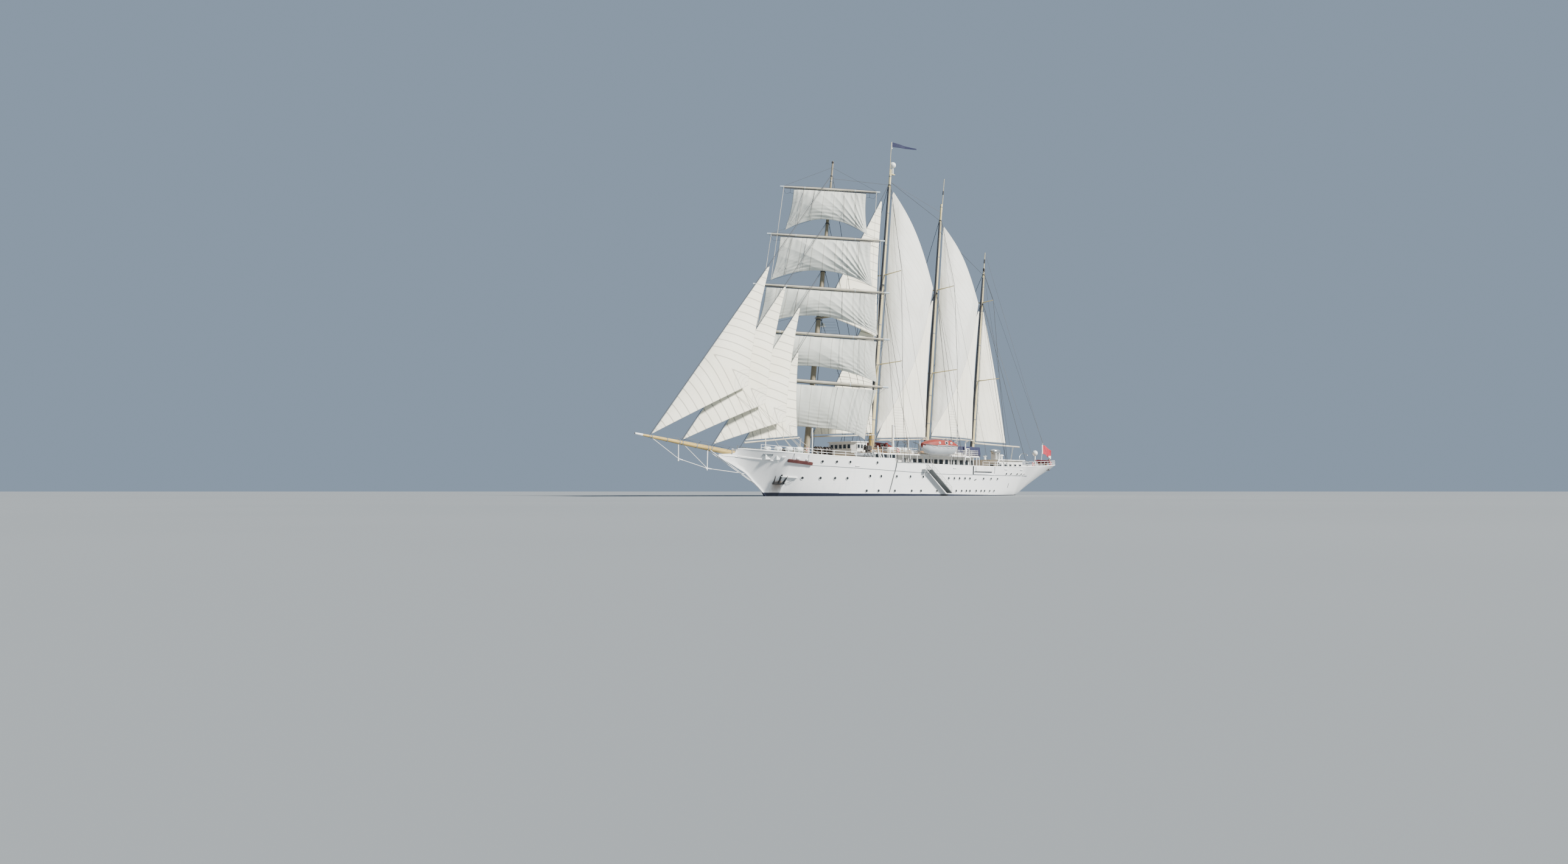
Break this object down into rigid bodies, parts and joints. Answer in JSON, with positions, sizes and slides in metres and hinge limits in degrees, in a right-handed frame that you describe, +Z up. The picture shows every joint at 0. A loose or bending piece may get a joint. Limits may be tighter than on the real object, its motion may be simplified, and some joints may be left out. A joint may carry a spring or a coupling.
{
  "type": "four-masted barquentine scale model at 1:10",
  "caption": "Sailing ship with a white hull, square sails on the foremast, fore-and-aft sails on the other masts, booms, bowsprit, deckhouses and lifeboats, all sails set.",
  "frame": {"origin": "on the waterline, on the centre line, half way along the waterline", "axes": "+X to the bow, +Y to port, +Z up"},
  "size_m": [11.2366, 1.9945, 7.13],
  "materials": {
    "hull_white": "satin white paint, a little worn",
    "spar_buff": "buff paint, satin",
    "yard_cream": "cream paint, satin",
    "sail_cream": "cream woven sailcloth with dark seams",
    "sail_white": "greyish white woven sailcloth",
    "house_white": "white paint, satin",
    "wire_grey": "weathered steel wire",
    "steel_grey": "worn galvanised steel",
    "iron_black": "black paint with rust",
    "boat_orange": "orange canopy over a grey-white hull",
    "cloth_blue": "navy canvas",
    "cloth_red": "red woven cloth",
    "boat_red": "dark red coated fabric tubes",
    "dome_white": "white shell",
    "bronze": "dull bronze"
  },
  "bodies": {
    "root": {"hull": "hull_white", "bowsprit": "spar_buff", "main_deckhouse": "house_white", "wheelhouse": "house_white", "aft_deckhouse": "house_white", "fore_deckhouse": "house_white", "windlass": "iron_black", "radome": "dome_white", "stern_dome": "dome_white", "ensign": "cloth_red", "pennant": "cloth_blue", "stern_boat": "boat_red", "awning": "cloth_blue", "gangway_platform": "house_white", "fore_mast": "spar_buff", "fore_rigging": "wire_grey", "main_mast": "spar_buff", "main_rigging": "wire_grey", "mizzen_mast": "spar_buff", "mizzen_rigging": "wire_grey", "jigger_mast": "spar_buff", "jigger_rigging": "wire_grey", "flying_jib": "sail_cream", "outer_jib": "sail_cream", "inner_jib": "sail_cream", "upper_main_staysail": "sail_cream", "main_fisherman": "sail_cream", "mizzen_fisherman": "sail_cream", "lifeboat_port": "boat_orange", "davits_port": "house_white", "anchor_port": "iron_black", "rail_port": "house_white", "lifeboat_starboard": "boat_orange", "davits_starboard": "house_white", "anchor_starboard": "iron_black", "rail_starboard": "house_white"},
    "course": {"course_yard": "yard_cream", "fore_course": "sail_white"},
    "lower_topsail": {"lower_topsail_yard": "yard_cream", "lower_topsail_sail": "sail_white"},
    "upper_topsail": {"upper_topsail_yard": "yard_cream", "upper_topsail_sail": "sail_white"},
    "lower_topgallant": {"lower_topgallant_yard": "yard_cream", "lower_topgallant_sail": "sail_white"},
    "upper_topgallant": {"upper_topgallant_yard": "yard_cream", "upper_topgallant_sail": "sail_white"},
    "fore_staysail": {"fore_staysail": "sail_cream", "fore_staysail_boom": "yard_cream"},
    "main_staysail": {"main_staysail": "sail_cream", "main_staysail_boom": "yard_cream"},
    "mizzen_staysail": {"mizzen_staysail": "sail_cream", "mizzen_staysail_boom": "yard_cream"},
    "jigger_staysail": {"jigger_staysail": "sail_cream", "jigger_staysail_boom": "yard_cream"},
    "spanker": {"spanker": "sail_cream", "spanker_boom": "yard_cream"},
    "rudder": {"rudder": "hull_white"},
    "propeller": {"propeller": "bronze"},
    "gangway": {"gangway": "steel_grey"}
  },
  "joints": [
    {"name": "course_brace", "type": "hinge", "parent": "root", "child": "course", "pos_m": [2.662, 0, 0], "axis": [-0.1322, 0, 0.9912], "range_deg": [-88, 8]},
    {"name": "lower_topsail_brace", "type": "hinge", "parent": "root", "child": "lower_topsail", "pos_m": [2.662, 0, 0], "axis": [-0.1322, 0, 0.9912], "range_deg": [-88, 8]},
    {"name": "upper_topsail_brace", "type": "hinge", "parent": "root", "child": "upper_topsail", "pos_m": [2.662, 0, 0], "axis": [-0.1322, 0, 0.9912], "range_deg": [-88, 8]},
    {"name": "lower_topgallant_brace", "type": "hinge", "parent": "root", "child": "lower_topgallant", "pos_m": [2.662, 0, 0], "axis": [-0.1322, 0, 0.9912], "range_deg": [-88, 8]},
    {"name": "upper_topgallant_brace", "type": "hinge", "parent": "root", "child": "upper_topgallant", "pos_m": [2.662, 0, 0], "axis": [-0.1322, 0, 0.9912], "range_deg": [-88, 8]},
    {"name": "fore_staysail_swing", "type": "hinge", "parent": "root", "child": "fore_staysail", "pos_m": [4.143, 0, 0.71912], "axis": [0.6225, 0, -0.7826], "range_deg": [-14, 3]},
    {"name": "main_staysail_swing", "type": "hinge", "parent": "root", "child": "main_staysail", "pos_m": [2.47213, 0, 0.965], "axis": [0.5471, 0, -0.8371], "range_deg": [-26, 5]},
    {"name": "mizzen_staysail_swing", "type": "hinge", "parent": "root", "child": "mizzen_staysail", "pos_m": [0.83355, 0, 0.89], "axis": [0.5228, 0, -0.8524], "range_deg": [-26, 12]},
    {"name": "jigger_staysail_swing", "type": "hinge", "parent": "root", "child": "jigger_staysail", "pos_m": [-0.77411, 0, 1.01], "axis": [0.5226, 0, -0.8526], "range_deg": [-24, 12]},
    {"name": "spanker_swing", "type": "hinge", "parent": "root", "child": "spanker", "pos_m": [-2.067, 0, 0], "axis": [-0.1237, 0, 0.9923], "range_deg": [-14, 34]},
    {"name": "rudder_turn", "type": "hinge", "parent": "root", "child": "rudder", "pos_m": [-3.29, 0, -0.3], "axis": [0, 0, 1], "range_deg": [-35, 35]},
    {"name": "propeller_spin", "type": "hinge", "parent": "root", "child": "propeller", "pos_m": [-2.995, 0, -0.37], "axis": [1, 0, 0], "continuous": true},
    {"name": "gangway_lift", "type": "hinge", "parent": "root", "child": "gangway", "pos_m": [0.25, 0.827, 0.475], "axis": [0, 1, 0], "range_deg": [0, 35]}
  ],
  "couplings": [
    {"joint": "lower_topsail_brace", "follows": "course_brace", "ratio": 1},
    {"joint": "upper_topsail_brace", "follows": "course_brace", "ratio": 1},
    {"joint": "lower_topgallant_brace", "follows": "course_brace", "ratio": 1},
    {"joint": "upper_topgallant_brace", "follows": "course_brace", "ratio": 1}
  ]
}
